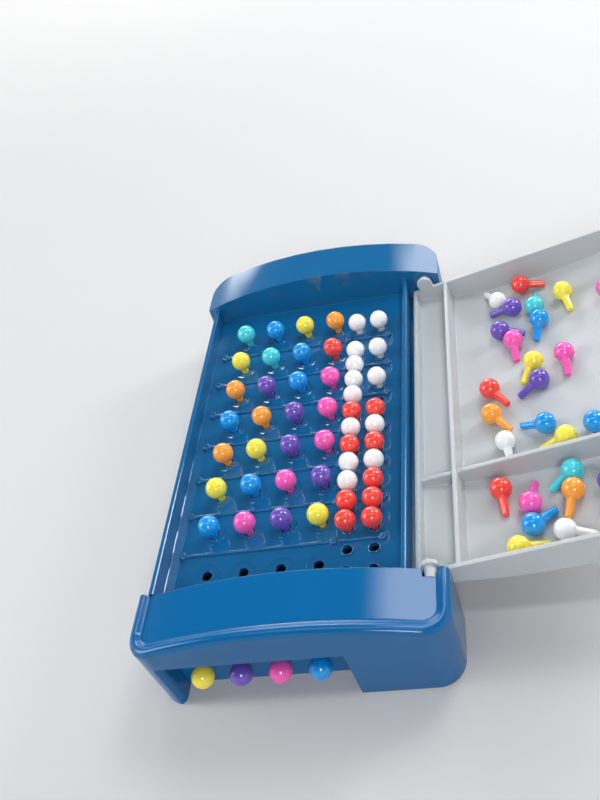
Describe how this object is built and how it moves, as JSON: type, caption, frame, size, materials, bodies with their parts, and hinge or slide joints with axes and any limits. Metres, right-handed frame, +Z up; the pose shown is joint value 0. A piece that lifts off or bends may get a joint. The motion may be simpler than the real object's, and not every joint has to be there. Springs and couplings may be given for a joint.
{
  "type": "code breaking peg game",
  "caption": "Travel game of code breaking: a blue board with rows of plugged ball pegs, a code hood over the hidden pegs and a grey storage tray that swings over as the lid.",
  "frame": {"origin": "on the surface the game stands on, under the middle of the case's width and of the rows of holes", "axes": "+X along a row of holes towards the tray, +Y towards the head of the board, +Z up"},
  "size_m": [0.2086, 0.2045, 0.0511],
  "materials": {
    "board_blue": "polished moulded plastic",
    "hood_blue": "polished moulded plastic",
    "tray_grey": "fine satin moulded plastic",
    "teal": "polished moulded plastic",
    "blue": "polished moulded plastic",
    "yellow": "polished moulded plastic",
    "orange": "polished moulded plastic",
    "red": "polished moulded plastic",
    "purple": "polished moulded plastic",
    "pink": "polished moulded plastic",
    "white": "polished moulded plastic"
  },
  "bodies": {
    "case": {"base_board": "board_blue", "code_hood": "hood_blue"},
    "tray": {"peg_tray": "tray_grey"},
    "code_peg_r1_c1": {"code_peg_r1_c1": "teal"},
    "code_peg_r1_c2": {"code_peg_r1_c2": "blue"},
    "code_peg_r1_c3": {"code_peg_r1_c3": "yellow"},
    "code_peg_r1_c4": {"code_peg_r1_c4": "orange"},
    "code_peg_r2_c1": {"code_peg_r2_c1": "yellow"},
    "code_peg_r2_c2": {"code_peg_r2_c2": "teal"},
    "code_peg_r2_c3": {"code_peg_r2_c3": "blue"},
    "code_peg_r2_c4": {"code_peg_r2_c4": "red"},
    "code_peg_r3_c1": {"code_peg_r3_c1": "orange"},
    "code_peg_r3_c2": {"code_peg_r3_c2": "purple"},
    "code_peg_r3_c3": {"code_peg_r3_c3": "blue"},
    "code_peg_r3_c4": {"code_peg_r3_c4": "pink"},
    "code_peg_r4_c1": {"code_peg_r4_c1": "blue"},
    "code_peg_r4_c2": {"code_peg_r4_c2": "orange"},
    "code_peg_r4_c3": {"code_peg_r4_c3": "purple"},
    "code_peg_r4_c4": {"code_peg_r4_c4": "pink"},
    "code_peg_r5_c1": {"code_peg_r5_c1": "orange"},
    "code_peg_r5_c2": {"code_peg_r5_c2": "yellow"},
    "code_peg_r5_c3": {"code_peg_r5_c3": "purple"},
    "code_peg_r5_c4": {"code_peg_r5_c4": "pink"},
    "code_peg_r6_c1": {"code_peg_r6_c1": "yellow"},
    "code_peg_r6_c2": {"code_peg_r6_c2": "blue"},
    "code_peg_r6_c3": {"code_peg_r6_c3": "pink"},
    "code_peg_r6_c4": {"code_peg_r6_c4": "purple"},
    "code_peg_r7_c1": {"code_peg_r7_c1": "blue"},
    "code_peg_r7_c2": {"code_peg_r7_c2": "pink"},
    "code_peg_r7_c3": {"code_peg_r7_c3": "purple"},
    "code_peg_r7_c4": {"code_peg_r7_c4": "yellow"},
    "secret_peg_1": {"secret_peg_1": "yellow"},
    "secret_peg_2": {"secret_peg_2": "purple"},
    "secret_peg_3": {"secret_peg_3": "pink"},
    "secret_peg_4": {"secret_peg_4": "blue"},
    "key_peg_r1_3": {"key_peg_r1_3": "white"},
    "key_peg_r1_4": {"key_peg_r1_4": "white"},
    "key_peg_r2_3": {"key_peg_r2_3": "white"},
    "key_peg_r2_4": {"key_peg_r2_4": "white"},
    "key_peg_r3_1": {"key_peg_r3_1": "white"},
    "key_peg_r3_3": {"key_peg_r3_3": "white"},
    "key_peg_r3_4": {"key_peg_r3_4": "white"},
    "key_peg_r4_1": {"key_peg_r4_1": "white"},
    "key_peg_r4_3": {"key_peg_r4_3": "red"},
    "key_peg_r4_4": {"key_peg_r4_4": "red"},
    "key_peg_r5_1": {"key_peg_r5_1": "white"},
    "key_peg_r5_2": {"key_peg_r5_2": "white"},
    "key_peg_r5_3": {"key_peg_r5_3": "red"},
    "key_peg_r5_4": {"key_peg_r5_4": "red"},
    "key_peg_r6_1": {"key_peg_r6_1": "white"},
    "key_peg_r6_2": {"key_peg_r6_2": "white"},
    "key_peg_r6_3": {"key_peg_r6_3": "white"},
    "key_peg_r6_4": {"key_peg_r6_4": "red"},
    "key_peg_r7_1": {"key_peg_r7_1": "red"},
    "key_peg_r7_2": {"key_peg_r7_2": "red"},
    "key_peg_r7_3": {"key_peg_r7_3": "red"},
    "key_peg_r7_4": {"key_peg_r7_4": "red"},
    "spare_peg_1": {"spare_peg_1": "red"},
    "spare_peg_2": {"spare_peg_2": "white"},
    "spare_peg_3": {"spare_peg_3": "purple"}
  },
  "joints": [
    {"name": "tray_hinge", "type": "hinge", "parent": "case", "child": "tray", "pos_m": [0.0498, 0, 0.03235], "axis": [0, 1, 0], "range_deg": [-168, 0]},
    {"name": "code_peg_r1_c1_lift", "type": "slide", "parent": "case", "child": "code_peg_r1_c1", "axis": [0, 0, 1], "range_m": [0, 0.012]},
    {"name": "code_peg_r1_c2_lift", "type": "slide", "parent": "case", "child": "code_peg_r1_c2", "axis": [0, 0, 1], "range_m": [0, 0.012]},
    {"name": "code_peg_r1_c3_lift", "type": "slide", "parent": "case", "child": "code_peg_r1_c3", "axis": [0, 0, 1], "range_m": [0, 0.012]},
    {"name": "code_peg_r1_c4_lift", "type": "slide", "parent": "case", "child": "code_peg_r1_c4", "axis": [0, 0, 1], "range_m": [0, 0.012]},
    {"name": "code_peg_r2_c1_lift", "type": "slide", "parent": "case", "child": "code_peg_r2_c1", "axis": [0, 0, 1], "range_m": [0, 0.012]},
    {"name": "code_peg_r2_c2_lift", "type": "slide", "parent": "case", "child": "code_peg_r2_c2", "axis": [0, 0, 1], "range_m": [0, 0.012]},
    {"name": "code_peg_r2_c3_lift", "type": "slide", "parent": "case", "child": "code_peg_r2_c3", "axis": [0, 0, 1], "range_m": [0, 0.012]},
    {"name": "code_peg_r2_c4_lift", "type": "slide", "parent": "case", "child": "code_peg_r2_c4", "axis": [0, 0, 1], "range_m": [0, 0.012]},
    {"name": "code_peg_r3_c1_lift", "type": "slide", "parent": "case", "child": "code_peg_r3_c1", "axis": [0, 0, 1], "range_m": [0, 0.012]},
    {"name": "code_peg_r3_c2_lift", "type": "slide", "parent": "case", "child": "code_peg_r3_c2", "axis": [0, 0, 1], "range_m": [0, 0.012]},
    {"name": "code_peg_r3_c3_lift", "type": "slide", "parent": "case", "child": "code_peg_r3_c3", "axis": [0, 0, 1], "range_m": [0, 0.012]},
    {"name": "code_peg_r3_c4_lift", "type": "slide", "parent": "case", "child": "code_peg_r3_c4", "axis": [0, 0, 1], "range_m": [0, 0.012]},
    {"name": "code_peg_r4_c1_lift", "type": "slide", "parent": "case", "child": "code_peg_r4_c1", "axis": [0, 0, 1], "range_m": [0, 0.012]},
    {"name": "code_peg_r4_c2_lift", "type": "slide", "parent": "case", "child": "code_peg_r4_c2", "axis": [0, 0, 1], "range_m": [0, 0.012]},
    {"name": "code_peg_r4_c3_lift", "type": "slide", "parent": "case", "child": "code_peg_r4_c3", "axis": [0, 0, 1], "range_m": [0, 0.012]},
    {"name": "code_peg_r4_c4_lift", "type": "slide", "parent": "case", "child": "code_peg_r4_c4", "axis": [0, 0, 1], "range_m": [0, 0.012]},
    {"name": "code_peg_r5_c1_lift", "type": "slide", "parent": "case", "child": "code_peg_r5_c1", "axis": [0, 0, 1], "range_m": [0, 0.012]},
    {"name": "code_peg_r5_c2_lift", "type": "slide", "parent": "case", "child": "code_peg_r5_c2", "axis": [0, 0, 1], "range_m": [0, 0.012]},
    {"name": "code_peg_r5_c3_lift", "type": "slide", "parent": "case", "child": "code_peg_r5_c3", "axis": [0, 0, 1], "range_m": [0, 0.012]},
    {"name": "code_peg_r5_c4_lift", "type": "slide", "parent": "case", "child": "code_peg_r5_c4", "axis": [0, 0, 1], "range_m": [0, 0.012]},
    {"name": "code_peg_r6_c1_lift", "type": "slide", "parent": "case", "child": "code_peg_r6_c1", "axis": [0, 0, 1], "range_m": [0, 0.012]},
    {"name": "code_peg_r6_c2_lift", "type": "slide", "parent": "case", "child": "code_peg_r6_c2", "axis": [0, 0, 1], "range_m": [0, 0.012]},
    {"name": "code_peg_r6_c3_lift", "type": "slide", "parent": "case", "child": "code_peg_r6_c3", "axis": [0, 0, 1], "range_m": [0, 0.012]},
    {"name": "code_peg_r6_c4_lift", "type": "slide", "parent": "case", "child": "code_peg_r6_c4", "axis": [0, 0, 1], "range_m": [0, 0.012]},
    {"name": "code_peg_r7_c1_lift", "type": "slide", "parent": "case", "child": "code_peg_r7_c1", "axis": [0, 0, 1], "range_m": [0, 0.012]},
    {"name": "code_peg_r7_c2_lift", "type": "slide", "parent": "case", "child": "code_peg_r7_c2", "axis": [0, 0, 1], "range_m": [0, 0.012]},
    {"name": "code_peg_r7_c3_lift", "type": "slide", "parent": "case", "child": "code_peg_r7_c3", "axis": [0, 0, 1], "range_m": [0, 0.012]},
    {"name": "code_peg_r7_c4_lift", "type": "slide", "parent": "case", "child": "code_peg_r7_c4", "axis": [0, 0, 1], "range_m": [0, 0.012]},
    {"name": "secret_peg_1_pull", "type": "slide", "parent": "case", "child": "secret_peg_1", "axis": [0, -1, 0], "range_m": [0, 0.012]},
    {"name": "secret_peg_2_pull", "type": "slide", "parent": "case", "child": "secret_peg_2", "axis": [0, -1, 0], "range_m": [0, 0.012]},
    {"name": "secret_peg_3_pull", "type": "slide", "parent": "case", "child": "secret_peg_3", "axis": [0, -1, 0], "range_m": [0, 0.012]},
    {"name": "secret_peg_4_pull", "type": "slide", "parent": "case", "child": "secret_peg_4", "axis": [0, -1, 0], "range_m": [0, 0.012]},
    {"name": "key_peg_r1_3_lift", "type": "slide", "parent": "case", "child": "key_peg_r1_3", "axis": [0, 0, 1], "range_m": [0, 0.012]},
    {"name": "key_peg_r1_4_lift", "type": "slide", "parent": "case", "child": "key_peg_r1_4", "axis": [0, 0, 1], "range_m": [0, 0.012]},
    {"name": "key_peg_r2_3_lift", "type": "slide", "parent": "case", "child": "key_peg_r2_3", "axis": [0, 0, 1], "range_m": [0, 0.012]},
    {"name": "key_peg_r2_4_lift", "type": "slide", "parent": "case", "child": "key_peg_r2_4", "axis": [0, 0, 1], "range_m": [0, 0.012]},
    {"name": "key_peg_r3_1_lift", "type": "slide", "parent": "case", "child": "key_peg_r3_1", "axis": [0, 0, 1], "range_m": [0, 0.012]},
    {"name": "key_peg_r3_3_lift", "type": "slide", "parent": "case", "child": "key_peg_r3_3", "axis": [0, 0, 1], "range_m": [0, 0.012]},
    {"name": "key_peg_r3_4_lift", "type": "slide", "parent": "case", "child": "key_peg_r3_4", "axis": [0, 0, 1], "range_m": [0, 0.012]},
    {"name": "key_peg_r4_1_lift", "type": "slide", "parent": "case", "child": "key_peg_r4_1", "axis": [0, 0, 1], "range_m": [0, 0.012]},
    {"name": "key_peg_r4_3_lift", "type": "slide", "parent": "case", "child": "key_peg_r4_3", "axis": [0, 0, 1], "range_m": [0, 0.012]},
    {"name": "key_peg_r4_4_lift", "type": "slide", "parent": "case", "child": "key_peg_r4_4", "axis": [0, 0, 1], "range_m": [0, 0.012]},
    {"name": "key_peg_r5_1_lift", "type": "slide", "parent": "case", "child": "key_peg_r5_1", "axis": [0, 0, 1], "range_m": [0, 0.012]},
    {"name": "key_peg_r5_2_lift", "type": "slide", "parent": "case", "child": "key_peg_r5_2", "axis": [0, 0, 1], "range_m": [0, 0.012]},
    {"name": "key_peg_r5_3_lift", "type": "slide", "parent": "case", "child": "key_peg_r5_3", "axis": [0, 0, 1], "range_m": [0, 0.012]},
    {"name": "key_peg_r5_4_lift", "type": "slide", "parent": "case", "child": "key_peg_r5_4", "axis": [0, 0, 1], "range_m": [0, 0.012]},
    {"name": "key_peg_r6_1_lift", "type": "slide", "parent": "case", "child": "key_peg_r6_1", "axis": [0, 0, 1], "range_m": [0, 0.012]},
    {"name": "key_peg_r6_2_lift", "type": "slide", "parent": "case", "child": "key_peg_r6_2", "axis": [0, 0, 1], "range_m": [0, 0.012]},
    {"name": "key_peg_r6_3_lift", "type": "slide", "parent": "case", "child": "key_peg_r6_3", "axis": [0, 0, 1], "range_m": [0, 0.012]},
    {"name": "key_peg_r6_4_lift", "type": "slide", "parent": "case", "child": "key_peg_r6_4", "axis": [0, 0, 1], "range_m": [0, 0.012]},
    {"name": "key_peg_r7_1_lift", "type": "slide", "parent": "case", "child": "key_peg_r7_1", "axis": [0, 0, 1], "range_m": [0, 0.012]},
    {"name": "key_peg_r7_2_lift", "type": "slide", "parent": "case", "child": "key_peg_r7_2", "axis": [0, 0, 1], "range_m": [0, 0.012]},
    {"name": "key_peg_r7_3_lift", "type": "slide", "parent": "case", "child": "key_peg_r7_3", "axis": [0, 0, 1], "range_m": [0, 0.012]},
    {"name": "key_peg_r7_4_lift", "type": "slide", "parent": "case", "child": "key_peg_r7_4", "axis": [0, 0, 1], "range_m": [0, 0.012]},
    {"name": "spare_peg_1_lift", "type": "slide", "parent": "tray", "child": "spare_peg_1", "axis": [0, 0, 1], "range_m": [0, 0.012]},
    {"name": "spare_peg_2_lift", "type": "slide", "parent": "tray", "child": "spare_peg_2", "axis": [0, 0, 1], "range_m": [0, 0.012]},
    {"name": "spare_peg_3_lift", "type": "slide", "parent": "tray", "child": "spare_peg_3", "axis": [0, 0, 1], "range_m": [0, 0.012]}
  ]
}
